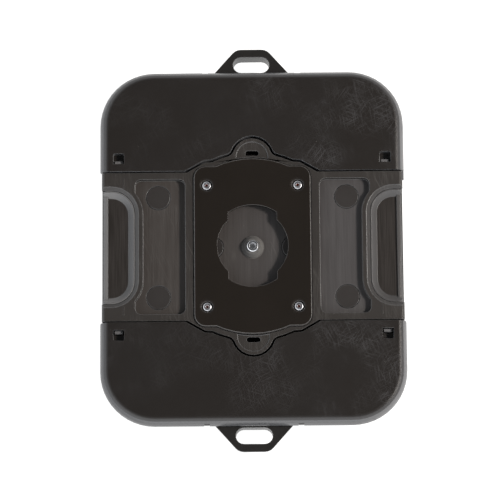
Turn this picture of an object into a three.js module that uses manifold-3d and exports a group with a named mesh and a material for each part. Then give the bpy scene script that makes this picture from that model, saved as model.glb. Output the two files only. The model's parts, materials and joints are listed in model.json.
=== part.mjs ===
// Low rodent bait station: a moulded case with a fixed bridge across its middle, a hinged lid
// over the bait chamber at each end, and a screwed-on plate with a bayonet opening.
// Millimetres. +X is east, +Y is north, +Z is up. The origin is on the ground under the middle.
import * as THREE from "three";
import { mergeVertices } from "three/addons/utils/BufferGeometryUtils.js";
import Module from "manifold-3d";

const wasm = await Module();
wasm.setup();

// ---- Driving dimensions ----

const gap = 0.3; // between two pieces that touch
const flatness = 0.1; // the most that a curve may stray from its flats
const far = 200; // reach of a cutting tool past the case

// Case
const halfWidth = 122.6; // of the lids, which are the widest pieces
const halfLength = 144;
const cornerRadius = 44;
const caseTop = 48;
const base = {
  bottom: 2, floor: 4.5, rim: 35.9, inset: 2.4, wall: 2.8, edge: 4,
  draft: 0.012, // share by which the base is narrower at its bottom
};
const flange = { inset: 1.6, width: 6.6, thickness: 2 }; // round the top of the base
const lip = { inset: 6.6, width: 1.6, top: 38.6, start: 64.4 }; // that the lids close over

// Strap loops
const loop = {
  root: 138, start: 140, tip: 164.4, rootHalf: 36, tipHalf: 12.4, round: 9,
  low: 17.6, slope: 2, brim: 1.5,
};
const strapSlot = { y: 151.5, halfWidth: 14.75, radius: 6.5 };

// Lids
const lidRim = 37.6;
const lidWall = 2.6;
const seam = 61.3; // where each lid begins
const shoulderIn = 7.8;
const lidTab = { from: 54, thickness: 1.3, top: 42.4, round: 1.5 }; // at the north-east only
const lidCorner = 1.3; // radius at each end of the seam

// Hinges: an ear of the base between two knuckles of the lid
const hinge = {
  x: 37.5, y: 141, z: 40.2, radius: 2.4, pin: 1.25, ear: 4, web: 3.2, knuckle: 3.7, pinHalf: 5,
};

// Locks
const latch = { x: 107.3, y: 68.7, z: 30.5, width: 6.6, height: 14.5, thickness: 1.4, barrel: 2 };
const latchNose = { depth: 1.8, start: 3.2, slope: 0.7, crown: 0.5 };
const latchStand = { halfX: 4.8, halfY: 3.5, above: 3 };
const lockWindow = {
  x: 107.3, y: 71.8, sizeX: 8.8, sizeY: 8.6, corner: 1.4, shelf: 1.5, wall: 1.2, low: 40,
};

// Bridge
const bridgeTop = 46.4;
const bridgeHalfWidth = 121;
const bridgeRim = base.rim + gap;
const bridgeSkin = 3;
const bridgeWall = 2.2;
const seamGap = 1;
const contourGap = 1.8; // between the bridge and the lids round the raised middle
const sideFillet = 3;
const bossRadius = 4.4; // round every screw of the bridge
const bridgeScrew = { x: 108, y: 55, headRadius: 3.4, headHeight: 2.2, shank: 1.75, length: 16, seat: 24 };
const bridgeColumn = { radius: 5, top: 29.7 };

// Middle plate and the recess under it
const plateHalfWidth = 47.3;
const plateHalfLength = 65.4;
const plateCorner = 9.5;
const plateCrown = 71.7; // radius of the bulging ends
const plateThickness = 4;
const plateBevel = 0.8;
const plateWell = { wall: 1.6, floor: 2.4 }; // the thickness round and under the plate
const openingRadius = 28.5;
const lobeRadius = 33.3;
const lobeHalfWidth = 19.5;
const recess = { radius: 43, floor: 39.6, thickness: 3.4 };
const plateScrew = { x: 36.6, y: 49.3, headRadius: 4, headHeight: 2.1, shank: 2, length: 8 };
const dimple = { seat: 1.4, radius: 4.5, mouth: 7, depth: 1 };
const stud = {
  coneRadius: 9, coneTop: 6.2, coneHeight: 4.6, shank: 3, head: 4.8, headHeight: 2.2, length: 7, socket: 2.8,
};

// Ears of the bridge, and the slot through each
const ear = { y: 72.3, radius: 17.6, rim: 4.7, recess: 0.8, slotY: 75.8, slotHalf: 5.5, slotRadius: 2 };

// Pockets, grips and plugs
const pocket = { inner: 54, outer: 94.3, halfLength: 54.8, corner: 5, floor: 41, rim: 3.5 };
const grip = { edge: 91.4, halfLength: 49.2, corner: 22, floor: 39.4, top: 44, halfWidth: 120 };
const gripChamfer = 2.9;
const gripChamferDepth = 2.2;
const gripSlope = 4.4; // in plan, from the rim of the grip down to its floor
const gripRim = 1; // the flat between the chamfer's foot and the scoop
const gripLip = { inner: 116.2, top: 41, round: 2.3 };
const gripTongue = { inset: 3.2, thickness: 1.5 };
const pocketDisc = { x: 75.7, y: 40.7, radius: 9.6 };
const recessDisc = { x: 32, y: 0, radius: 8.5 };
const discThickness = 1.8;
const discProud = 0.1; // above the floor round it
const tubWall = 2;
const tubFloor = 3;

// Base fittings
const foot = { x: 88, y: 112, radius: 9, height: 2, deep: 1 };
const baffle = { y: 61.8, thickness: 2, halfWidth: 114.6, top: 33.5 };
const baffleGuide = { x: 112.6, length: 5.2, wall: 1.5, top: 32 };
const doorway = { low: 44, high: 92, top: 29.5 };
const entry = { halfWidth: 23, low: 6.5, high: 31, corner: 6 };

// Bait
const tray = {
  west: -92, east: 52, south: 68, north: 132, base: 4.8, rim: 16, wall: 1.8, corner: 6, divider: -14,
};
const rods = [-72, -34];
const rod = { y: 104, radius: 2, top: 41.5, headRadius: 4.5, headHeight: 2, socket: 4.5 };
const block = { size: 26, height: 13.3, base: 12.4, chamfer: 3 };

const plateLow = caseTop - plateThickness;

// ---- Solids ----

// The number of flats that an arc of this radius and angle needs.
function flatsIn(radius, angle) {
  return Math.ceil(Math.abs(angle) / (2 * Math.acos(1 - flatness / Math.max(radius, 1))));
}

const roundFlats = (radius) => 4 * Math.ceil(flatsIn(radius, Math.PI * 2) / 4);

function solid(geometry) {
  const bare = geometry.clone();
  bare.deleteAttribute("normal");
  bare.deleteAttribute("uv");
  const merged = mergeVertices(bare, 1e-4);
  return new wasm.Manifold(new wasm.Mesh({
    numProp: 3,
    vertProperties: merged.attributes.position.array,
    triVerts: new Uint32Array(merged.index.array),
  }));
}

function geometryOf(body) {
  const mesh = body.asOriginal().simplify(5e-3).getMesh();
  const made = new THREE.BufferGeometry();
  made.setAttribute("position", new THREE.BufferAttribute(mesh.vertProperties, 3));
  made.setIndex(new THREE.BufferAttribute(mesh.triVerts, 1));
  made.computeVertexNormals();
  return made;
}

const joined = (...bodies) => bodies.reduce((sum, body) => sum.add(body));
const without = (body, ...tools) => tools.reduce((left, tool) => left.subtract(tool), body);

function box([x0, x1], [y0, y1], [z0, z1]) {
  const made = new THREE.BoxGeometry(x1 - x0, y1 - y0, z1 - z0);
  made.translate((x0 + x1) / 2, (y0 + y1) / 2, (z0 + z1) / 2);
  return solid(made);
}

// A cylinder standing on (x, y), or a cone where top differs from radius.
function post(x, y, radius, [low, high], top = radius) {
  const made = new THREE.CylinderGeometry(top, radius, high - low, roundFlats(radius));
  made.rotateX(Math.PI / 2);
  made.translate(x, y, (low + high) / 2);
  return solid(made);
}

// A cylinder lying along X.
function bar(y, z, radius, [x0, x1]) {
  const made = new THREE.CylinderGeometry(radius, radius, x1 - x0, roundFlats(radius));
  made.rotateZ(Math.PI / 2);
  made.translate((x0 + x1) / 2, y, z);
  return solid(made);
}

// A body turned about Z from [radius, z] points that start and end on the axis.
function turned(points) {
  const widest = Math.max(...points.map(([r]) => r));
  const profile = points.map(([r, z]) => new THREE.Vector2(r, z));
  const made = new THREE.LatheGeometry(profile, roundFlats(widest));
  made.rotateX(Math.PI / 2);
  return solid(made);
}

// An outline raised from low to high, grown sideways by grow (shrunk if it is negative).
function prism(shape, [low, high], grow = 0) {
  const made = new THREE.ExtrudeGeometry(shape, {
    depth: high - low,
    bevelEnabled: grow !== 0,
    bevelThickness: 0,
    bevelSize: 0,
    bevelOffset: grow,
    bevelSegments: 0,
  });
  made.translate(0, 0, low);
  return solid(made);
}

// A cutter with walls that slope from growLow at low to growHigh at high, then stand upright.
function flare(shape, [low, high], [growLow, growHigh]) {
  const made = new THREE.ExtrudeGeometry(shape, {
    depth: caseTop,
    bevelThickness: high - low,
    bevelSize: growHigh - growLow,
    bevelOffset: growLow,
    bevelSegments: 1,
  });
  made.translate(0, 0, high);
  return solid(made);
}

// ---- Outlines ----

// The points of an arc, turning either way from one angle to the other.
function arc([cx, cy], radius, from, to) {
  const count = flatsIn(radius, to - from);
  return Array.from({ length: count + 1 }, (unused, step) => {
    const angle = from + (to - from) * step / count;
    return new THREE.Vector2(cx + radius * Math.cos(angle), cy + radius * Math.sin(angle));
  });
}

function roundedRect([x0, x1], [y0, y1], radius) {
  const corner = (x, y, turns) => arc([x, y], radius, turns * Math.PI / 2, (turns + 1) * Math.PI / 2);
  return new THREE.Shape([
    ...corner(x1 - radius, y0 + radius, -1),
    ...corner(x1 - radius, y1 - radius, 0),
    ...corner(x0 + radius, y1 - radius, 1),
    ...corner(x0 + radius, y0 + radius, 2),
  ]);
}

// A closed outline from the points of its first quarter, from the X axis to the Y axis.
function mirrored(quarter) {
  const second = quarter.slice(0, -1).reverse().map((p) => new THREE.Vector2(-p.x, p.y));
  const upper = [...quarter, ...second];
  const lower = upper.map((p) => new THREE.Vector2(-p.x, -p.y));
  const onAxis = quarter[0].y === 0 ? 1 : 0;
  return new THREE.Shape([...upper, ...lower.slice(onAxis, lower.length - onAxis)]);
}

// A slot along X, centred on (0, y), with half-round ends.
function stadium(y, halfWidth, radius) {
  return new THREE.Shape([
    ...arc([halfWidth - radius, y], radius, -Math.PI / 2, Math.PI / 2),
    ...arc([radius - halfWidth, y], radius, Math.PI / 2, Math.PI * 1.5),
  ]);
}

function caseOutline(inset) {
  const x = halfWidth - inset;
  const y = halfLength - inset;
  return roundedRect([-x, x], [-y, y], cornerRadius - inset);
}

const plateOutline = mirrored([
  new THREE.Vector2(plateHalfWidth, 0),
  ...arc([plateHalfWidth - plateCorner, plateHalfLength - plateCorner], plateCorner, 0, Math.PI / 2),
  ...arc([0, 0], plateCrown, Math.asin(plateHalfLength / plateCrown), Math.PI / 2),
]);

const openingOutline = mirrored([
  ...arc([0, 0], openingRadius, 0, Math.acos(lobeHalfWidth / openingRadius)),
  ...arc([0, 0], lobeRadius, Math.acos(lobeHalfWidth / lobeRadius), Math.PI / 2),
]);

// The edge of the lids round the raised middle: a slope, a shallow crown and a round ear,
// which a small hollow curve joins.
const seamContour = (() => {
  const crownRadius = plateCrown + 6;
  const blend = 5;
  const crownStart = [33, 71.2];
  const reachCrown = crownRadius + blend;
  const reachEar = ear.radius + blend;
  const y = (reachCrown ** 2 - reachEar ** 2 + ear.y ** 2) / (2 * ear.y);
  const x = Math.sqrt(reachCrown ** 2 - y ** 2);
  const crownMeets = Math.atan2(y, x);
  const earMeets = Math.atan2(y - ear.y, x);
  return mirrored([
    new THREE.Vector2(54.2, seam),
    new THREE.Vector2(39, 70),
    ...arc([0, 0], crownRadius, Math.atan2(crownStart[1], crownStart[0]), crownMeets),
    ...arc([x, y], blend, crownMeets - Math.PI, earMeets - Math.PI).slice(1, -1),
    ...arc([0, ear.y], ear.radius, earMeets, Math.PI / 2),
  ]);
})();

const gripOutline = roundedRect([grip.edge, far], [-grip.halfLength, grip.halfLength], grip.corner);
const pocketOutline = roundedRect(
  [pocket.inner, pocket.outer], [-pocket.halfLength, pocket.halfLength], pocket.corner);

// ---- Repeats ----

const sides = [{ name: "west", turn: Math.PI }, { name: "east", turn: 0 }];
const ends = [{ name: "north", turn: 0 }, { name: "south", turn: Math.PI }];
const corners = [
  { name: "nw", x: -1, y: 1 },
  { name: "ne", x: 1, y: 1 },
  { name: "sw", x: -1, y: -1 },
  { name: "se", x: 1, y: -1 },
];
const atCorners = (make, { x, y }) => corners.map((corner) => make(corner.x * x, corner.y * y));
const halfTurned = (body) => body.rotate([0, 0, 180]);
const bothEnds = (body) => [body, halfTurned(body)];

// ---- Case ----

// A rounded block with the case's outline, its upper edge rounded by across in plan and by up in height.
function caseBody(inset, [low, high], [across, up]) {
  const made = new THREE.ExtrudeGeometry(caseOutline(inset), {
    depth: caseTop,
    bevelThickness: up,
    bevelSize: across,
    bevelOffset: -across,
    bevelSegments: flatsIn(across, Math.PI / 2),
  });
  made.translate(0, 0, high - caseTop - up);
  return solid(made).intersect(box([-far, far], [-far, far], [low, far]));
}

// The same block the other way up: it stands at low, with its lower edge rounded.
function caseBowl(inset, low, radius) {
  return caseBody(inset, [-far, -low], [radius, radius]).rotate([180, 0, 0]);
}

function baseShell() {
  const outside = caseBowl(base.inset, base.bottom, base.edge)
    .intersect(box([-far, far], [-far, far], [0, base.rim]));
  const inside = caseBowl(base.inset + base.wall, base.floor, base.edge / 2);
  return without(outside, inside).warp((point) => {
    const share = 1 - base.draft * (base.rim - point[2]) / (base.rim - base.bottom);
    point[0] *= share;
    point[1] *= share;
  });
}

function ring(inset, width, heights) {
  return without(
    prism(caseOutline(inset), heights),
    prism(caseOutline(inset + width), [heights[0] - 1, heights[1] + 1]),
  );
}

// The strap loop at the north end: a tapering tongue with a long slot.
function strapLoop() {
  const high = base.rim - gap;
  const lean = Math.atan2(loop.rootHalf - loop.tipHalf, loop.tip - loop.root);
  const turn = Math.PI / 2 - lean;
  const back = loop.round * Math.tan(turn / 2);
  const outline = new THREE.Shape([
    new THREE.Vector2(-loop.rootHalf, loop.root),
    new THREE.Vector2(loop.rootHalf, loop.root),
    ...arc([loop.tipHalf - back, loop.tip - loop.round], loop.round, lean, Math.PI / 2),
    ...arc([back - loop.tipHalf, loop.tip - loop.round], loop.round, Math.PI / 2, Math.PI / 2 + turn),
  ]);
  const tongue = flare(outline, [loop.low, high - loop.brim], [-loop.slope, 0])
    .intersect(prism(outline, [loop.low, high]));
  return without(
    tongue,
    prism(stadium(strapSlot.y, strapSlot.halfWidth, strapSlot.radius), [0, caseTop]),
    box([-far, far], [0, loop.start], [0, far]),
  );
}

// The ear of the base that holds each hinge pin, between the lid's two knuckles.
function hingeEar(x) {
  const across = [x - hinge.ear / 2, x + hinge.ear / 2];
  const barrel = bar(hinge.y, hinge.z, hinge.radius, across);
  const web = box(across, [hinge.y - hinge.web / 2, hinge.y + hinge.web / 2], [base.rim - 1, hinge.z]);
  return without(joined(barrel, web), bar(hinge.y, hinge.z, hinge.pin + gap, [x - hinge.ear, x + hinge.ear]));
}

// The upright that carries a latch in a cross bore, open above for the latch's arm.
function latchUpright(x, y) {
  const { halfX, halfY, above } = latchStand;
  const top = latch.z + above;
  const through = [x - halfX - 1, x + halfX + 1];
  const armRoom = latch.thickness / 2 + 3 * gap;
  return without(
    box([x - halfX, x + halfX], [y - halfY, y + halfY], [base.floor - 1, top]),
    bar(y, latch.z, latch.barrel + gap, through),
    box(through, [y - armRoom, y + armRoom], [latch.z, top + 1]),
  );
}

// Two ribs that stand either side of a baffle's end.
function baffleRibs(x, y) {
  const acrossX = [x, x + Math.sign(x) * baffleGuide.length].sort((a, b) => a - b);
  const reach = baffle.thickness / 2 + gap;
  const rib = (from) => box(acrossX, [from, from + baffleGuide.wall], [base.floor - 0.5, baffleGuide.top]);
  return joined(rib(y + reach), rib(y - reach - baffleGuide.wall));
}

function baseTray() {
  const closingLip = without(
    ring(lip.inset, lip.width, [base.rim - 1, lip.top]),
    box([-far, far], [-lip.start, lip.start], [base.rim, far]),
  );
  const solidParts = joined(
    baseShell(),
    ring(flange.inset, flange.width, [base.rim - flange.thickness, base.rim]),
    closingLip,
    ...bothEnds(joined(strapLoop(), hingeEar(-hinge.x), hingeEar(hinge.x))),
    ...atCorners((x, y) => post(x, y, bridgeColumn.radius, [base.floor - 1, bridgeColumn.top]), bridgeScrew),
    ...atCorners(latchUpright, latch),
    ...atCorners(baffleRibs, { x: baffleGuide.x, y: baffle.y }),
  );
  const entryHole = roundedRect([-entry.halfWidth, entry.halfWidth], [entry.low, entry.high], entry.corner);
  return without(
    solidParts,
    prism(entryHole, [-far, far]).rotate([90, 0, 90]),
    ...atCorners((x, y) => post(x, y, bridgeScrew.headRadius + gap, [0, bridgeScrew.seat]), bridgeScrew),
    ...atCorners((x, y) => post(x, y, bridgeScrew.shank + gap, [0, base.rim]), bridgeScrew),
    ...atCorners((x, y) => post(x, y, foot.radius + gap, [0, foot.height + foot.deep]), foot),
  );
}

// ---- Lids ----

// Everything inside the lid's domed outer surface, shrunk by the same thickness all round.
function lidDome(shrink) {
  return caseBody(shrink, [shrink > 0 ? 0 : lidRim, caseTop - shrink],
    [shoulderIn - shrink, caseTop - lidRim - shrink]);
}

// What is cut from a side of the lid to round the end of its seam.
function seamCorner(side) {
  const [x, y] = [side * (halfWidth - lidCorner), seam + lidCorner];
  const acrossX = [x, side * far].sort((a, b) => a - b);
  return without(box(acrossX, [0, y], [0, far]), post(x, y, lidCorner, [-1, far + 1]));
}

// A small tab that carries the lid's wall on beside the bridge.
function lidTongue() {
  const outline = roundedRect([lidTab.from, seam + lidWall], [lidRim, lidTab.top], lidTab.round);
  return prism(outline, [halfWidth - lidTab.thickness, halfWidth]).rotate([90, 0, 90]).intersect(lidDome(0));
}

function lid() {
  const northOf = (from) => box([-far, far], [from, far], [0, far]);
  const behindSeam = prism(seamContour, [0, far], lidWall);
  const hollow = without(lidDome(lidWall).intersect(northOf(seam + lidWall)), behindSeam);
  const shell = without(lidDome(0).intersect(northOf(seam)), hollow);
  const hingeSides = [-hinge.x, hinge.x];
  const knuckles = hingeSides.flatMap((x) => {
    const near = hinge.ear / 2 + gap;
    const end = near + hinge.knuckle;
    return [[x - end, x - near], [x + near, x + end]]
      .map((across) => bar(hinge.y, hinge.z, hinge.radius, across));
  });
  const notchTop = hinge.z + hinge.radius + 2 * gap;
  const earNotches = hingeSides.map((x) => box(
    [x - hinge.ear / 2 - gap, x + hinge.ear / 2 + gap], [hinge.y - hinge.ear, far], [0, notchTop]));
  const pinBores = hingeSides.map((x) => bar(hinge.y, hinge.z, hinge.pin + gap,
    [x - hinge.pinHalf - gap, x + hinge.pinHalf + gap]));
  const lockSides = [-lockWindow.x, lockWindow.x];
  return without(
    joined(shell, ...lockSides.map(lockWell), ...knuckles),
    prism(seamContour, [0, far]),
    ...[-1, 1].map(seamCorner),
    ...lockSides.map(lockOpening),
    ...earNotches,
    ...pinBores,
  );
}

// The well under a lock window, with a shelf under its outer half.
function lockWell(x) {
  const { y, sizeX, sizeY, wall, low } = lockWindow;
  return box([x - sizeX / 2 - wall, x + sizeX / 2 + wall], [y - sizeY / 2, y + sizeY / 2 + wall],
    [low, caseTop - 1]);
}

function lockOpening(x) {
  const { y, sizeX, sizeY, corner, shelf, low } = lockWindow;
  const [halfX, high] = [sizeX / 2, y + sizeY / 2];
  const outline = new THREE.Shape([
    new THREE.Vector2(x - halfX, y - sizeY / 2),
    new THREE.Vector2(x + halfX, y - sizeY / 2),
    ...arc([x + halfX - corner, high - corner], corner, 0, Math.PI / 2),
    ...arc([x - halfX + corner, high - corner], corner, Math.PI / 2, Math.PI),
  ]);
  const beforeShelf = box([-far, far], [0, latch.y + latchNose.depth + gap], [0, far]);
  return joined(prism(outline, [low + shelf, far]), prism(outline, [0, far]).intersect(beforeShelf));
}

// ---- Bridge ----

// The bridge's plan, shrunk by inset, between two heights.
function bridgeBlock(inset, heights) {
  const across = bridgeHalfWidth - inset;
  const along = seam - seamGap - inset;
  return joined(
    box([-across, across], [-along, along], heights),
    prism(seamContour, heights, -contourGap - inset),
  );
}

// A long bar along Y whose top edges are rounded: what is kept of the bridge and the grips.
function roundedSides(halfAcross, top, radius, halfAlong) {
  const section = new THREE.Shape([
    new THREE.Vector2(-halfAcross, 0),
    new THREE.Vector2(halfAcross, 0),
    ...arc([halfAcross - radius, top - radius], radius, 0, Math.PI / 2),
    ...arc([radius - halfAcross, top - radius], radius, Math.PI / 2, Math.PI),
  ]);
  return prism(section, [-halfAlong, halfAlong]).rotate([90, 0, 0]);
}

const pocketTool = (heights, grow) => without(
  prism(pocketOutline, heights, grow), prism(gripOutline, [0, far], pocket.rim - grow));

// The round seat of a plug, a little deeper than the plug.
const plugSeat = ({ x, y, radius }, floor) => post(x, y, radius + gap, [floor - discThickness - 0.2, far]);

function pocketCut() {
  return joined(
    pocketTool([pocket.floor, far], 0),
    plugSeat(pocketDisc, pocket.floor),
    plugSeat({ ...pocketDisc, y: -pocketDisc.y }, pocket.floor),
  );
}

function gripCut() {
  return joined(
    prism(gripOutline, [0, far], -gripChamfer),
    flare(gripOutline, [bridgeTop - gripChamferDepth, bridgeTop], [-gripChamfer, 0]),
  );
}

// The shallow recess in the north ear, and the slot through it.
function earCut() {
  const hollow = without(
    post(0, ear.y, ear.radius - ear.rim, [bridgeTop - ear.recess, far]),
    prism(plateOutline, [0, far], 3 * gap),
  );
  return joined(hollow, prism(stadium(ear.slotY, ear.slotHalf, ear.slotRadius), [0, far]));
}

function centreBridge() {
  const shell = without(
    bridgeBlock(0, [bridgeRim, bridgeTop]),
    bridgeBlock(bridgeWall, [0, bridgeTop - bridgeSkin]),
  );
  const underTop = bridgeTop - 1;
  const wellFloor = plateLow - gap;
  const raised = joined(
    shell.intersect(roundedSides(bridgeHalfWidth, bridgeTop, sideFillet, far)),
    ...bothEnds(pocketTool([pocket.floor - tubFloor, underTop], tubWall)),
    post(0, 0, recess.radius + bridgeWall, [recess.floor - recess.thickness, underTop]),
    prism(plateOutline, [wellFloor - plateWell.floor, underTop], plateWell.wall)
      .intersect(bridgeBlock(0, [0, far])),
    ...atCorners((x, y) => post(x, y, bossRadius, [bridgeRim, underTop]), plateScrew),
    ...atCorners((x, y) => post(x, y, bossRadius, [bridgeColumn.top + gap, underTop]), bridgeScrew),
  );
  return without(
    raised,
    ...bothEnds(joined(pocketCut(), gripCut(), earCut(), plugSeat(recessDisc, recess.floor))),
    prism(plateOutline, [wellFloor, far], gap),
    post(0, 0, recess.radius, [recess.floor, far]),
    post(0, 0, stud.shank + gap, [0, far]),
    ...atCorners((x, y) => post(x, y, plateScrew.shank + gap, [0, far]), plateScrew),
    ...atCorners((x, y) => post(x, y, bridgeScrew.shank + gap, [0, bridgeTop - bridgeSkin]), bridgeScrew),
  );
}

// ---- Grips, plugs and plate ----

// The east finger grip: a D-shaped cup with a low lip along the side of the case.
function gripInsert() {
  const rim = -gripChamfer - gap;
  const mouth = rim - gripRim;
  const underSkin = bridgeTop - bridgeSkin - gap;
  const body = joined(
    prism(gripOutline, [bridgeRim, grip.top], rim),
    prism(gripOutline, [underSkin - gripTongue.thickness, underSkin], -gap)
      .intersect(box([0, bridgeHalfWidth - gripTongue.inset], [-far, far], [0, far])),
  ).intersect(roundedSides(grip.halfWidth, grip.top, sideFillet, far));
  const scoop = without(
    flare(gripOutline, [grip.floor, grip.top], [mouth - gripSlope, mouth]),
    box([gripLip.inner, far], [-far, far], [0, gripLip.top]),
  );
  const slopeAtLip = gripSlope * (grip.top - gripLip.top) / (grip.top - grip.floor);
  const half = grip.halfLength + mouth - slopeAtLip;
  const { round } = gripLip;
  const [edgeX, edgeZ] = [grip.halfWidth - round, gripLip.top - round];
  const lipEdge = without(
    box([edgeX, far], [-half, half], [edgeZ, far]),
    bar(0, 0, round, [-far, far]).rotate([0, 0, 90]).translate([edgeX, 0, edgeZ]),
  );
  return without(body, scoop, lipEdge);
}

function disc(radius) {
  const edge = 0.3;
  return turned([[0, 0], [radius, 0], [radius, discThickness - edge], [radius - edge, discThickness],
    [0, discThickness]]);
}

function accessoryPlate() {
  const blank = new THREE.ExtrudeGeometry(plateOutline, {
    depth: plateThickness - plateBevel,
    bevelThickness: plateBevel,
    bevelSize: plateBevel,
    bevelOffset: -plateBevel,
    bevelSegments: 1,
  });
  blank.translate(0, 0, plateLow);
  const body = solid(blank).intersect(box([-far, far], [-far, far], [plateLow, far]));
  const screwHole = (x, y) => joined(
    post(x, y, dimple.radius, [plateLow + dimple.seat, far]),
    post(x, y, dimple.radius, [caseTop - dimple.depth, caseTop + 0.01], dimple.mouth),
    post(x, y, plateScrew.shank + gap, [0, far]),
  );
  return without(body, prism(openingOutline, [0, far]), ...atCorners(screwHole, plateScrew));
}

function hexagon(radius, [low, high]) {
  const made = new THREE.CylinderGeometry(radius, radius, high - low, 6);
  made.rotateX(Math.PI / 2);
  made.translate(0, 0, (low + high) / 2);
  return solid(made);
}

// A button-head screw: its head rests at z = 0 and its shank hangs below.
function buttonScrew({ headRadius, headHeight, shank, length }) {
  const body = turned([
    [0, -length],
    [shank * 0.7, -length],
    [shank, -length + 1],
    [shank, 0],
    [headRadius, 0],
    [headRadius, headHeight * 0.3],
    [headRadius * 0.8, headHeight * 0.8],
    [headRadius * 0.5, headHeight],
    [0, headHeight],
  ]);
  return without(body, hexagon(shank * 0.72, [headHeight * 0.35, headHeight + 1]));
}

function studCone() {
  const { coneRadius, coneTop, coneHeight, shank } = stud;
  const body = turned([[0, 0], [coneRadius, 0], [coneRadius, 0.8], [coneTop, coneHeight], [0, coneHeight]]);
  return without(body, post(0, 0, shank + gap, [-1, coneHeight + 1]));
}

function centreStud() {
  const { shank, head, headHeight, length } = stud;
  const edge = 0.6;
  const body = turned([[0, -length], [shank, -length], [shank, 0], [head, 0], [head, headHeight - edge],
    [head - edge, headHeight], [0, headHeight]]);
  return without(body, hexagon(stud.socket, [-1.2, headHeight + 1]));
}

// ---- Moving and inner pieces ----

function latchClip() {
  const half = latch.width / 2;
  const back = latch.thickness / 2;
  const { depth, start, slope, crown } = latchNose;
  const arm = box([-half, half], [-back, back], [0, latch.height]);
  const nose = new THREE.Shape([
    new THREE.Vector2(-back, latch.height - start),
    new THREE.Vector2(depth, latch.height - start + slope),
    new THREE.Vector2(depth, latch.height - crown),
    new THREE.Vector2(depth - crown, latch.height),
    new THREE.Vector2(-back, latch.height),
  ]);
  const hook = prism(nose, [-half, half]).rotate([90, 0, 90]);
  return joined(bar(0, 0, latch.barrel, [-half, half]), arm, hook);
}

function baffleWall() {
  const half = baffle.thickness / 2;
  return without(
    box([-baffle.halfWidth, baffle.halfWidth], [baffle.y - half, baffle.y + half],
      [base.floor + gap, baffle.top]),
    box([doorway.low, doorway.high], [0, far], [0, doorway.top]),
  );
}

function baitTray() {
  const outline = (inset) => roundedRect([tray.west + inset, tray.east - inset],
    [tray.south + inset, tray.north - inset], tray.corner - inset);
  const floor = tray.base + tray.wall;
  const hollow = prism(outline(tray.wall), [floor, far])
    .subtract(box([tray.divider, tray.divider + tray.wall], [0, far], [0, tray.rim - 2]));
  const sockets = rods.map((x) => post(x, rod.y, rod.socket, [floor - 1, block.base - gap]));
  const holes = rods.map((x) => post(x, rod.y, rod.radius + gap, [floor, far]));
  return without(joined(prism(outline(0), [tray.base, tray.rim]).subtract(hollow), ...sockets), ...holes);
}

function baitRod() {
  const low = tray.base + tray.wall + gap;
  const headLow = rod.top - rod.headHeight;
  const edge = 0.6;
  return turned([[0, low], [rod.radius, low], [rod.radius, headLow], [rod.headRadius, headLow],
    [rod.headRadius, rod.top - edge], [rod.headRadius - edge, rod.top], [0, rod.top]]);
}

function baitBlock() {
  const half = block.size / 2;
  const cut = half - block.chamfer;
  const outline = new THREE.Shape([
    new THREE.Vector2(half, -cut),
    new THREE.Vector2(half, cut),
    new THREE.Vector2(cut, half),
    new THREE.Vector2(-cut, half),
    new THREE.Vector2(-half, cut),
    new THREE.Vector2(-half, -cut),
    new THREE.Vector2(-cut, -half),
    new THREE.Vector2(cut, -half),
  ]);
  return without(prism(outline, [0, block.height]), post(0, 0, rod.radius + gap, [-1, far]));
}

function rubberFoot() {
  const top = foot.height + foot.deep - gap;
  return turned([[0, 0], [foot.radius - 1, 0], [foot.radius, 1], [foot.radius, top], [0, top]]);
}

// ---- Materials ----

const finishes = {
  case: { color: 0x262422, roughness: 0.35, metalness: 0 },
  lid: { color: 0x262320, roughness: 0.32, metalness: 0 },
  bridge: { color: 0x2a2724, roughness: 0.4, metalness: 0 },
  grip: { color: 0x2c2a28, roughness: 0.45, metalness: 0 },
  plug: { color: 0x1f1d1c, roughness: 0.6, metalness: 0 },
  plate: { color: 0x201c18, roughness: 0.6, metalness: 0.2 },
  bright: { color: 0xb8b8bc, roughness: 0.25, metalness: 1 },
  latch: { color: 0x5a5a5e, roughness: 0.4, metalness: 0 },
  rubber: { color: 0x141414, roughness: 0.85, metalness: 0 },
  tray: { color: 0x3a3d40, roughness: 0.5, metalness: 0 },
  bait: { color: 0x3f7f8c, roughness: 0.9, metalness: 0 },
};

// ---- Assembly ----

const station = new THREE.Group();

function place(name, body, finish, { x = 0, y = 0, z = 0, turn = 0 } = {}) {
  const mesh = new THREE.Mesh(geometryOf(body), new THREE.MeshStandardMaterial(finishes[finish]));
  mesh.name = name;
  mesh.position.set(x, y, z);
  mesh.rotation.z = turn;
  station.add(mesh);
}

place("base_tray", baseTray(), "case");
place("centre_bridge", centreBridge(), "bridge");
place("accessory_plate", accessoryPlate(), "plate");
place("stud_cone", studCone(), "bridge", { z: recess.floor + gap });
place("centre_stud", centreStud(), "bright", { z: recess.floor + stud.coneHeight + 2 * gap });

const lids = { north: joined(lid(), lidTongue()), south: lid() };
for (const { name, turn } of ends) {
  place(`lid_${name}`, lids[name], "lid", { turn });
  place(`baffle_${name}`, baffleWall(), "case", { turn });
  place(`bait_tray_${name}`, baitTray(), "tray", { turn });
  for (const [index, rodX] of rods.entries()) {
    const way = Math.cos(turn);
    const [x, y] = [way * rodX, way * rod.y];
    const mark = `${name}_${index + 1}`;
    place(`bait_rod_${mark}`, baitRod(), "bright", { x, y });
    for (const [layer, label] of ["lower", "upper"].entries()) {
      const z = block.base + layer * (block.height + gap);
      place(`bait_block_${mark}_${label}`, baitBlock(), "bait", { x, y, z });
    }
  }
}

for (const { name, turn } of sides) {
  place(`grip_${name}`, gripInsert(), "grip", { turn });
  place(`recess_disc_${name}`, disc(recessDisc.radius), "plug",
    { x: Math.cos(turn) * recessDisc.x, z: recess.floor - discThickness + discProud });
}

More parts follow.
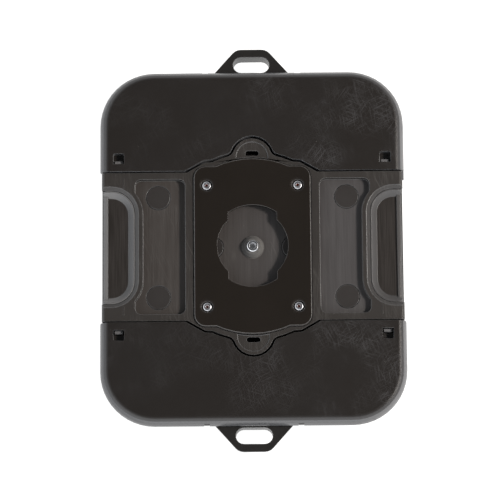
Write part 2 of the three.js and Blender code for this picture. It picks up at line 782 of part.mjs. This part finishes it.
for (const { name, x, y } of corners) {
  const turn = y > 0 ? 0 : Math.PI;
  place(`latch_${name}`, latchClip(), "latch", { x: x * latch.x, y: y * latch.y, z: latch.z, turn });
  place(`pocket_disc_${name}`, disc(pocketDisc.radius), "plug",
    { x: x * pocketDisc.x, y: y * pocketDisc.y, z: pocket.floor - discThickness + discProud });
  place(`plate_screw_${name}`, buttonScrew(plateScrew), "bright",
    { x: x * plateScrew.x, y: y * plateScrew.y, z: plateLow + dimple.seat + gap });
  const pin = bar(0, 0, hinge.pin, [-hinge.pinHalf, hinge.pinHalf]);
  place(`hinge_pin_${name}`, pin, "bright", { x: x * hinge.x, y: y * hinge.y, z: hinge.z });
  const upward = buttonScrew(bridgeScrew).rotate([180, 0, 0]);
  place(`bridge_screw_${name}`, upward, "bright",
    { x: x * bridgeScrew.x, y: y * bridgeScrew.y, z: bridgeScrew.seat - gap });
  place(`foot_${name}`, rubberFoot(), "rubber", { x: x * foot.x, y: y * foot.y });
}

export default station;
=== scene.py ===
"""Bait station: camera, light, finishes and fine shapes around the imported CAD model.

Blender's own lengths are in metres. Sizes in the finishes and the rounding are in millimetres.
"""

import json
import math

import bpy
from mathutils import Euler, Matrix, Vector


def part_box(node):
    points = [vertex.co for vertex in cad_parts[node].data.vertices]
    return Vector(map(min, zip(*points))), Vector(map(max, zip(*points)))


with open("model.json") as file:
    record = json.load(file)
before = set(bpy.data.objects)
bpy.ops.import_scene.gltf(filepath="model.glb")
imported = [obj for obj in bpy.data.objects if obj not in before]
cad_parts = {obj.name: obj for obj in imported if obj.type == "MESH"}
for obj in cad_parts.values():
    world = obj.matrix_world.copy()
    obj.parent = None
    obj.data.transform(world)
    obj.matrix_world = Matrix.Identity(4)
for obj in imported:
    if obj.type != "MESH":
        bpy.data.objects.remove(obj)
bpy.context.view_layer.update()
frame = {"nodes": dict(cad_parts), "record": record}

scene = bpy.context.scene
mm = 0.001


# ---- Camera ----

def make_camera():
    """A long lens almost straight above the plate, leaning a little to the south."""
    distance = 2.137
    lean = math.radians(10)
    roll = math.radians(-0.5)
    aim_x = -2.2 * mm
    aim_y = -3.7 * mm
    plate_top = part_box("accessory_plate")[1].z
    back = Vector((0, -math.sin(lean), math.cos(lean)))
    turn = Euler((lean, 0, 0)).to_matrix() @ Euler((0, 0, roll)).to_matrix()
    data = bpy.data.cameras.new("camera")
    data.lens = 192.3
    data.sensor_width = 36
    data.dof.use_dof = False
    camera = bpy.data.objects.new("camera", data)
    camera.location = Vector((aim_x, aim_y, plate_top)) + distance * back
    camera.rotation_mode = "XYZ"
    camera.rotation_euler = turn.to_euler()
    scene.collection.objects.link(camera)
    scene.camera = camera


# ---- Light ----

def area_light(name, width, height, power, azimuth, elevation, colour):
    """A light that faces the middle of the case from an angle above the horizon."""
    distance = 2.5
    data = bpy.data.lights.new(name, "AREA")
    data.shape = "RECTANGLE"
    data.size = width
    data.size_y = height
    data.energy = power
    data.color = colour
    light = bpy.data.objects.new(name, data)
    a, e = math.radians(azimuth), math.radians(elevation)
    out = Vector((math.cos(a) * math.cos(e), math.sin(a) * math.cos(e), math.sin(e)))
    light.location = out * distance
    light.rotation_mode = "QUATERNION"
    light.rotation_quaternion = out.to_track_quat("Z", "Y")
    scene.collection.objects.link(light)
    return light


def make_lights():
    """A small hard key in the middle of a wide dim softbox. Only the softbox is mirrored in the plastic."""
    azimuth = 0
    elevation = 47
    warm = (1, 0.94, 0.88)
    key_side = 0.3
    key_power = 118
    softbox_width = 1.5
    softbox_height = 0.6
    softbox_power = 26
    key = area_light("key", key_side, key_side, key_power, azimuth, elevation, warm)
    key.visible_glossy = False
    area_light("softbox", softbox_width, softbox_height, softbox_power, azimuth, elevation, warm)


def make_world():
    """A pale room with a dark ceiling. Its walls are brightest, and reach highest, to the south and west."""
    ceiling_tilt = (0.07, 0.15, 1)
    levels_by_height = [(0.0, 1.0), (0.3, 0.8), (0.7, 0.5), (0.84, 0.12), (1.0, 0.05)]
    tint = (0.95, 0.97, 1.0)
    strength = 1.75
    brighter_sides = (-0.35, -0.33, 0)
    world = bpy.data.worlds.new("studio")
    world.use_nodes = True
    scene.world = world
    nodes, links = world.node_tree.nodes, world.node_tree.links
    background = nodes["Background"]
    coords = nodes.new("ShaderNodeTexCoord")
    height = nodes.new("ShaderNodeVectorMath")
    height.operation = "DOT_PRODUCT"
    height.inputs[1].default_value = ceiling_tilt
    ramp = nodes.new("ShaderNodeValToRGB")
    links.new(coords.outputs["Generated"], height.inputs[0])
    links.new(height.outputs["Value"], ramp.inputs["Fac"])
    links.new(ramp.outputs["Color"], background.inputs["Color"])
    elements = ramp.color_ramp.elements
    while len(elements) < len(levels_by_height):
        elements.new(0.5)
    for element, (place, level) in zip(elements, levels_by_height):
        element.position = place
        element.color = (*(level * part for part in tint), 1)
    leaning = nodes.new("ShaderNodeVectorMath")
    leaning.operation = "DOT_PRODUCT"
    leaning.inputs[1].default_value = brighter_sides
    links.new(coords.outputs["Generated"], leaning.inputs[0])
    scaled = nodes.new("ShaderNodeMath")
    scaled.operation = "MULTIPLY_ADD"
    scaled.inputs[1].default_value = strength
    scaled.inputs[2].default_value = strength
    links.new(leaning.outputs["Value"], scaled.inputs[0])
    links.new(scaled.outputs["Value"], background.inputs["Strength"])


def make_floor():
    """A wide gray table that glows white, as a lit product table does, so that the case hardly shades it."""
    half = 8
    gray = 0.15
    corners = [(-half, -half, 0), (half, -half, 0), (half, half, 0), (-half, half, 0)]
    mesh = bpy.data.meshes.new("floor")
    mesh.from_pydata(corners, [], [(0, 1, 2, 3)])
    floor = bpy.data.objects.new("floor", mesh)
    material = bpy.data.materials.new("floor")
    material.use_nodes = True
    shader = material.node_tree.nodes["Principled BSDF"]
    shader.inputs["Base Color"].default_value = (gray, gray, gray, 1)
    shader.inputs["Roughness"].default_value = 0.8
    shader.inputs["Specular IOR Level"].default_value = 0.2
    shader.inputs["Emission Color"].default_value = (1, 1, 1, 1)
    shader.inputs["Emission Strength"].default_value = 0.97
    mesh.materials.append(material)
    scene.collection.objects.link(floor)


# ---- Materials ----

class Finish:
    """One procedural material, laid out in millimetres in the case's own frame.

    x, y and z give the place. up is 1 on a face that looks straight up in the room, and -1 on one
    that looks down.
    """

    def __init__(self, name):
        self.material = bpy.data.materials.new(name)
        self.material.use_nodes = True
        tree = self.material.node_tree
        self.nodes = tree.nodes
        self.links = tree.links
        self.shader = self.nodes["Principled BSDF"]
        coords = self.add("ShaderNodeTexCoord").outputs["Object"]
        scaled = self.add("ShaderNodeVectorMath", {"operation": "SCALE"}, {"Vector": coords, "Scale": 1000})
        self.place = scaled.outputs["Vector"]
        split = self.add("ShaderNodeSeparateXYZ", {}, {0: self.place})
        self.x, self.y, self.z = split.outputs
        facing = self.add("ShaderNodeNewGeometry").outputs["True Normal"]
        self.up = self.add("ShaderNodeSeparateXYZ", {}, {0: facing}).outputs["Z"]

    def add(self, kind, settings=None, inputs=None):
        """A new node with these settings, its inputs linked or set."""
        node = self.nodes.new(kind)
        for name, value in (settings or {}).items():
            setattr(node, name, value)
        for name, value in (inputs or {}).items():
            self.put(node.inputs[name], value)
        return node

    def put(self, socket, value):
        """Links an output to a socket, or sets the socket to a plain value."""
        if isinstance(value, bpy.types.NodeSocket):
            self.links.new(value, socket)
        else:
            socket.default_value = value

    def calc(self, operation, first, second=0.0):
        node = self.add("ShaderNodeMath", {"operation": operation}, {0: first, 1: second})
        return node.outputs[0]

    def times(self, *values):
        product = values[0]
        for value in values[1:]:
            product = self.calc("MULTIPLY", product, value)
        return product

    def plus(self, *values):
        total = values[0]
        for value in values[1:]:
            total = self.calc("ADD", total, value)
        return total

    def band(self, value, low, high):
        """0 below low, 1 above high and smooth between. It falls instead if low is above high."""
        inputs = {"Value": value, "From Min": low, "From Max": high}
        settings = {"interpolation_type": "SMOOTHSTEP", "clamp": True}
        return self.add("ShaderNodeMapRange", settings, inputs).outputs["Result"]

    def laid(self, size, turn=0.0):
        """The place measured in cells of this size, turned about Z."""
        inputs = {"Vector": self.place, "Scale": size, "Rotation": (0, 0, math.radians(turn))}
        return self.add("ShaderNodeMapping", {"vector_type": "TEXTURE"}, inputs).outputs["Vector"]

    def noise(self, size, turn=0.0, detail=2.0, rough=0.5):
        """Noise from 0 to 1 with patches of about this size, one number or three."""
        size = size if isinstance(size, tuple) else (size, size, size)
        inputs = {"Vector": self.laid(size, turn), "Scale": 1.0, "Detail": detail, "Roughness": rough}
        return self.add("ShaderNodeTexNoise", {}, inputs).outputs[0]

    def specks(self, spacing, radius, share):
        """Round dots of this radius about one spacing apart, of which this share is kept."""
        inputs = {"Vector": self.laid((spacing, spacing, spacing)), "Scale": 1.0}
        cells = self.add("ShaderNodeTexVoronoi", {}, inputs)
        dot = self.band(cells.outputs["Distance"], radius / spacing, 0.4 * radius / spacing)
        pick = self.add("ShaderNodeSeparateColor", {}, {0: cells.outputs["Color"]}).outputs[0]
        return self.times(dot, self.band(pick, 1 - share, 1.001 - share))

    def scratches(self, turns, width=0.3, length=26, level=0.7):
        """Fine broken lines that run in each of these directions."""
        size = (width, length, length)
        lines = [self.band(self.noise(size, turn, 0.0), level, level + 0.04) for turn in turns]
        total = lines[0]
        for line in lines[1:]:
            total = self.calc("MAXIMUM", total, line)
        return total

    def mix(self, share, first, second):
        """A colour between two, by share. Sockets 6, 7 and 2 are the Mix node's colour ones."""
        node = self.add("ShaderNodeMix", {"data_type": "RGBA"}, {"Factor": share})
        self.put(node.inputs[6], self.colour(first))
        self.put(node.inputs[7], self.colour(second))
        return node.outputs[2]

    def colour(self, value):
        return value if isinstance(value, bpy.types.NodeSocket) else (*value, 1)

    def bump(self, height, depth, below=None):
        """A normal from a height of 0 to 1 that stands for this depth, on top of another normal."""
        node = self.add("ShaderNodeBump", {}, {"Height": height, "Distance": depth * mm, "Strength": 1.0})
        if below:
            self.put(node.inputs["Normal"], below)
        return node.outputs["Normal"]

    def finish(self, colour, roughness, normal=None, **uniform):
        """Joins everything to the shader. Uniform values go on its own sockets."""
        self.put(self.shader.inputs["Base Color"], self.colour(colour))
        self.put(self.shader.inputs["Roughness"], roughness)
        if normal:
            self.put(self.shader.inputs["Normal"], normal)
        for name, value in uniform.items():
            self.shader.inputs[name].default_value = value
        return self.material


def lid_plastic():
    """Black and semi-gloss, with dust, and with smudges and hair scratches that grow to the east.

    A face that doesn't look up is painted paler, a painted reflection of the pale room. This goes by the
    room, so an open lid's top is painted paler too.
    """
    f = Finish("lid_plastic")
    east = f.band(f.x, -70, 80)
    patches = f.band(f.noise(34, detail=4, rough=0.6), 0.48, 0.75)
    wiped = f.band(f.noise((3.2, 16, 16), 12, 3), 0.45, 0.72)
    haze = f.times(patches, f.plus(0.25, f.times(0.75, wiped)), f.plus(0.3, f.times(0.9, east)))
    scratched = f.band(f.noise(42, 40, 1), 0.42, 0.62)
    hairs = f.scratches((28, -36, 71, 8, -64))
    lines = f.times(hairs, scratched, f.plus(0.35, f.times(0.65, east)))
    dust = f.specks(7.5, 0.3, 0.3)
    tone = f.mix(f.noise(60, detail=1), (0.007, 0.0056, 0.0047), (0.0082, 0.0072, 0.0067))
    # painted reflection: faces that turn away from straight up, the shoulders most, get a pale gray tone
    painted_shoulder_reflection = f.band(f.up, 0.88, 0.7)
    tone = f.mix(painted_shoulder_reflection, tone, (0.062, 0.063, 0.066))
    tone = f.mix(f.times(haze, 0.25), tone, (0.018, 0.018, 0.0195))
    tone = f.mix(f.times(lines, 0.3), tone, (0.05, 0.05, 0.053))
    tone = f.mix(f.times(dust, 0.8), tone, (0.12, 0.115, 0.11))
    grain = f.noise(0.55, detail=3)
    worn = f.plus(f.times(0.16, haze), f.times(0.15, lines))
    roughness = f.plus(0.31, f.times(0.05, f.noise(5, detail=2)), worn)
    return f.finish(tone, roughness, f.bump(grain, 0.012))


def bridge_plastic():
    """The same black moulding, with paler matt floors in its hollows, streaked along the case.

    The cone round the middle stud is painted paler, a painted sheen, and a short raised line stands at each
    end of each grip.
    """
    hollow_top = 43.5
    cone_sheen_radius = 9.4
    mark_x = 103.2
    mark_y = 51.8
    mark_top = 46.2
    mark_height = 0.3
    f = Finish("bridge_plastic")
    level = f.band(f.up, 0.9, 0.97)
    sunk = f.times(level, f.band(f.z, hollow_top, hollow_top - 0.5))
    fine_streaks = f.noise((0.9, 40, 20), detail=3)
    wide_streaks = f.noise((3.5, 60, 30), detail=2)
    streaks = f.plus(f.times(0.6, fine_streaks), f.times(0.4, wide_streaks))
    top_tone = f.mix(f.noise(25, detail=3), (0.0128, 0.0112, 0.01), (0.0165, 0.0148, 0.0137))
    east = f.band(f.x, -60, 60)
    dark_streak = f.mix(east, (0.0165, 0.0136, 0.0119), (0.022, 0.0202, 0.0203))
    pale_streak = f.mix(east, (0.0235, 0.0203, 0.0185), (0.031, 0.0292, 0.0296))
    floor_tone = f.mix(f.band(streaks, 0.3, 0.7), dark_streak, pale_streak)
    tone = f.mix(sunk, top_tone, floor_tone)
    smears = f.times(f.scratches((3, -4, 25), 0.35, 30), f.band(f.noise(30), 0.4, 0.6))
    tone = f.mix(f.times(smears, 0.35), tone, (0.06, 0.058, 0.055))
    tone = f.mix(f.times(f.specks(6, 0.25, 0.3), 0.8), tone, (0.14, 0.135, 0.13))
    roughness = f.plus(0.36, f.times(0.16, sunk), f.times(0.06, f.noise(4, detail=2)))
    radius = f.calc("SQRT", f.plus(f.times(f.x, f.x), f.times(f.y, f.y)))
    # painted sheen: everything within the cone's radius of the middle is painted pale gray
    tone = f.mix(f.band(radius, cone_sheen_radius, cone_sheen_radius - 0.2), tone, (0.06, 0.058, 0.056))
    across = f.calc("ABSOLUTE", f.calc("SUBTRACT", f.calc("ABSOLUTE", f.x), mark_x))
    along = f.calc("ABSOLUTE", f.calc("SUBTRACT", f.calc("ABSOLUTE", f.y), mark_y))
    on_top = f.band(f.z, mark_top - 0.2, mark_top)
    mark = f.times(f.band(across, 0.75, 0.45), f.band(along, 4.0, 3.6), on_top)
    grain = f.bump(f.noise(0.5, detail=3), 0.012, f.bump(streaks, 0.01))
    return f.finish(tone, roughness, f.bump(mark, mark_height, grain))


def grip_plastic():
    """Black, with a dark streaked floor and a band round it painted paler, a painted reflection that is
    palest to the west.
    """
    floor_top = 40.6
    f = Finish("grip_plastic")
    level = f.band(f.up, 0.9, 0.97)
    sunk = f.times(level, f.band(f.z, floor_top, floor_top - 0.6))
    streaks = f.noise((0.8, 35, 20), detail=3)
    floor_tone = f.mix(f.band(streaks, 0.35, 0.65), (0.0085, 0.007, 0.006), (0.0165, 0.0143, 0.0131))
    # painted reflection: the sloped band round the floor is painted pale gray, palest to the west
    band_painted_reflection = f.mix(f.band(f.x, -60, 60), (0.078, 0.078, 0.079), (0.032, 0.031, 0.031))
    tone = f.mix(sunk, band_painted_reflection, floor_tone)
    tone = f.mix(f.times(f.specks(6, 0.25, 0.25), 0.7), tone, (0.11, 0.105, 0.1))
    roughness = f.plus(0.34, f.times(0.06, f.noise(4)))
    normal = f.bump(f.noise(0.5, detail=3), 0.01, f.bump(streaks, 0.012))
    return f.finish(tone, roughness, normal)


def matt_plastic(name, dark, light, roughness):
    """A plain matt moulding with a fine spark-eroded grain."""
    f = Finish(name)
    dust = tuple(0.1 + 2 * c for c in light)
    tone = f.mix(f.noise(9, detail=4), dark, light)
    tone = f.mix(f.times(f.specks(5, 0.2, 0.2), 0.6), tone, dust)
    grain = f.noise(0.45, detail=3)
    return f.finish(tone, f.plus(roughness, f.times(0.08, f.noise(3))), f.bump(grain, 0.03))


def powder_coat():
    """Fine-textured brown-black powder coat with a faint sparkle."""
    f = Finish("powder_coat")
    orange_peel = f.noise(0.75, detail=3, rough=0.6)
    sparkle = f.band(f.noise(0.6, detail=1), 0.62, 0.75)
    tone = f.mix(f.noise(30, detail=2), (0.0042, 0.0031, 0.0021), (0.0062, 0.0046, 0.0034))
    tone = f.mix(f.times(sparkle, 0.6), tone, (0.013, 0.011, 0.009))
    roughness = f.plus(0.34, f.times(0.12, orange_peel))
    return f.finish(tone, roughness, f.bump(orange_peel, 0.05), **{"Specular IOR Level": 0.28})


def worn_highlit_edge(name, tone, roughness):
    """The rounded edges of a piece, rubbed smooth, and painted paler than its faces on the black pieces:
    partly wear, partly a painted highlight.
    """
    f = Finish(name)
    rub = f.noise(2.2, detail=3)
    # painted highlight and wear: the edge tone, mottled darker in places by the rub noise
    colour = f.mix(f.band(rub, 0.3, 0.7), tuple(0.55 * c for c in tone), tone)
    return f.finish(colour, f.plus(roughness, f.times(0.1, rub)), f.bump(f.noise(0.4, detail=2), 0.008),
                    **{"Specular IOR Level": 0.9})


def bright_steel():
    """Bright plated steel with a soft cloudiness, red-brown on the floors of the plate screws' sockets."""
    f = Finish("bright_steel")
    cloud = f.noise(1.4, detail=3)
    level = f.band(f.up, 0.9, 0.97)
    socket_floor = f.times(level, f.band(f.z, 46.95, 46.85), f.band(f.z, 45.9, 46.0))
    tone = f.mix(cloud, (0.62, 0.62, 0.64), (0.8, 0.8, 0.82))
    tone = f.mix(socket_floor, tone, (0.25, 0.06, 0.03))
    roughness = f.plus(0.16, f.times(0.16, cloud))
    return f.finish(tone, roughness, f.bump(f.noise(0.5, detail=2), 0.01), **{"Metallic": 1.0})


def rubber():
    """Black rubber, matt and slightly mottled."""
    f = Finish("foot_rubber")
    tone = f.mix(f.noise(3, detail=3), (0.008, 0.008, 0.008), (0.02, 0.019, 0.018))
    return f.finish(tone, f.plus(0.7, f.times(0.15, f.noise(2))), f.bump(f.noise(0.6, detail=3), 0.05))


def bait_wax():
    """Pressed wax and grain: pale kernels in a blue-green ground."""
    f = Finish("bait")
    kernels = f.band(f.noise(2.6, detail=2), 0.5, 0.62)
    tone = f.mix(f.noise(7, detail=3), (0.02, 0.13, 0.16), (0.04, 0.22, 0.26))
    tone = f.mix(f.times(kernels, 0.55), tone, (0.3, 0.3, 0.16))
    height = f.plus(f.times(0.6, kernels), f.times(0.4, f.noise(1.1, detail=3)))
    return f.finish(tone, f.plus(0.5, f.times(0.2, kernels)), f.bump(height, 0.35))


# The plain mouldings by material slot: darkest tone, lightest tone, roughness.
matt_plastics = {
    "case_plastic": ((0.005, 0.0046, 0.0043), (0.009, 0.0085, 0.0082), 0.32),
    "plug_plastic": ((0.0085, 0.0069, 0.0061), (0.0125, 0.0107, 0.01), 0.5),
    "latch_plastic": ((0.05, 0.05, 0.052), (0.075, 0.075, 0.078), 0.35),
    "inner_plastic": ((0.012, 0.012, 0.012), (0.022, 0.022, 0.022), 0.45),
    "tray_plastic": ((0.04, 0.042, 0.045), (0.055, 0.057, 0.06), 0.4),
}
inner_slots = ("inner_plastic", "tray_plastic")


def make_finishes():
    """Each material slot's finish, with the finish of its rounded edges."""
    # painted highlight: the gray and plate edge finishes are paler than the faces they round, partly wear
    # and partly painted highlight
    gray_highlit_edge = worn_highlit_edge("edge_gray_highlit", (0.04, 0.039, 0.039), 0.2)
    dark_edge = worn_highlit_edge("edge_dark", (0.02, 0.019, 0.018), 0.3)
    plate_highlit_edge = worn_highlit_edge("edge_plate_highlit", (0.045, 0.042, 0.04), 0.2)
    steel = bright_steel()
    wax = bait_wax()
    finishes = {
        "lid_plastic": (lid_plastic(), gray_highlit_edge),
        "bridge_plastic": (bridge_plastic(), gray_highlit_edge),
        "grip_plastic": (grip_plastic(), gray_highlit_edge),
        "powder_coat": (powder_coat(), plate_highlit_edge),
        "bright_steel": (steel, steel),
        "bait": (wax, wax),
        "foot_rubber": (rubber(), dark_edge),
    }
    for slot, (dark, light, roughness) in matt_plastics.items():
        edge = dark_edge if slot in inner_slots else gray_highlit_edge
        finishes[slot] = (matt_plastic(slot, dark, light, roughness), edge)
    return finishes


# ---- Fine shapes on the CAD nodes ----

# The radius of the rounded edges by material slot. The cone has one of its own.
rounding = {
    "powder_coat": 0.25,
    "bright_steel": 0.2,
    "plug_plastic": 0.15,
    "latch_plastic": 0.15,
    "grip_plastic": 0.2,
    "lid_plastic": 0.15,
    "case_plastic": 0.3,
    "bridge_plastic": 0.35,
}
other_rounding = 0.4
cone_rounding = 0.2


def soften(node, radius):
    """Merges a node's flats into whole faces and rounds its sharp edges to about this radius."""
    weld_distance = 0.003
    flat_angle = 0.6
    sharp_angle = 32
    obj = frame["nodes"][node]
    mesh = obj.data
    for name in ("custom_normal", "sharp_face", "sharp_edge"):
        if name in mesh.attributes:
            mesh.attributes.remove(mesh.attributes[name])
    mesh.polygons.foreach_set("use_smooth", [True] * len(mesh.polygons))
    weld = obj.modifiers.new("weld", "WELD")
    weld.merge_threshold = weld_distance * mm
    flat = obj.modifiers.new("flat", "DECIMATE")
    flat.decimate_type = "DISSOLVE"
    flat.angle_limit = math.radians(flat_angle)
    bevel = obj.modifiers.new("round", "BEVEL")
    bevel.width = radius * mm
    bevel.segments = 3
    bevel.limit_method = "ANGLE"
    bevel.angle_limit = math.radians(sharp_angle)
    bevel.use_clamp_overlap = False
    bevel.miter_outer = "MITER_ARC"
    bevel.material = 1
    normals = obj.modifiers.new("normals", "WEIGHTED_NORMAL")
    normals.weight = 50
    normals.keep_sharp = False


def dress(node, material, edge):
    """Gives a node its finish, and a second one that the rounding puts on its edges."""
    obj = frame["nodes"][node]
    obj.data.materials.clear()
    obj.data.materials.append(material)
    obj.data.materials.append(edge)


def make_looks():
    """Dresses and softens every node of the CAD model."""
    finishes = make_finishes()
    for part in frame["record"]["subparts"]:
        node = part["node"]
        slot = part["material_slot"]
        material, edge = finishes[slot]
        dress(node, material, edge)
        soften(node, cone_rounding if node == "stud_cone" else rounding.get(slot, other_rounding))


make_camera()
make_world()
make_floor()
make_lights()
make_looks()

scene.view_settings.view_transform = "Standard"
scene.view_settings.look = "None"
